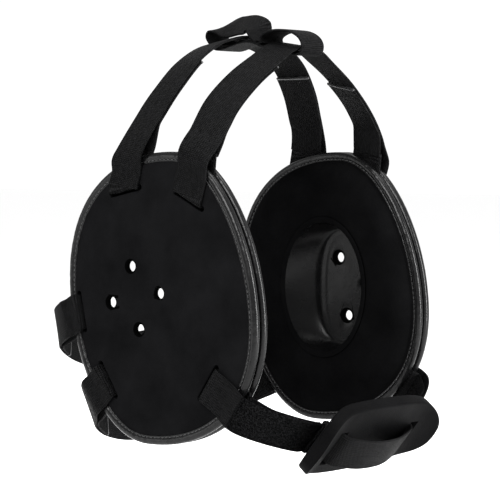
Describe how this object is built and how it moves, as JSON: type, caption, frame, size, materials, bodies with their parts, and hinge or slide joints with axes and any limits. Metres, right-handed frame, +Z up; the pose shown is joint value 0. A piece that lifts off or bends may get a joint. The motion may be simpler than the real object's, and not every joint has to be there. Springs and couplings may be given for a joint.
{
  "type": "wrestling ear guard",
  "caption": "Ear guard with padded, vented oval ear pieces joined by webbing over the crown and behind the head, and a strap through a foam chin cup.",
  "frame": {"origin": "crown seat: the top of the head, under the middle of the crown webbing", "axes": "+Z up, the wearer faces -Y, the wearer's right ear is at -X"},
  "size_m": [0.1986, 0.2209, 0.2887],
  "materials": {
    "panel": "matte coated fabric over foam",
    "cushion": "matte cushion cover",
    "binding": "smooth shiny vinyl tape",
    "ear_cup": "smooth moulded vinyl lining",
    "webbing": "ribbed woven webbing with hook and loop ends",
    "chin_foam": "closed-cell foam with a smooth skin and cut edges"
  },
  "bodies": {
    "root": {"outer_panel_right": "panel", "outer_binding_right": "binding", "inner_pad_right": "cushion", "inner_binding_right": "binding", "ear_cup_right": "ear_cup", "outer_panel_left": "panel", "outer_binding_left": "binding", "inner_pad_left": "cushion", "inner_binding_left": "binding", "ear_cup_left": "ear_cup", "front_crown_strap": "webbing", "back_crown_strap": "webbing", "upper_back_strap": "webbing", "lower_back_strap": "webbing", "chin_strap": "webbing", "crown_link": "webbing", "chin_cup": "chin_foam"}
  },
  "joints": []
}
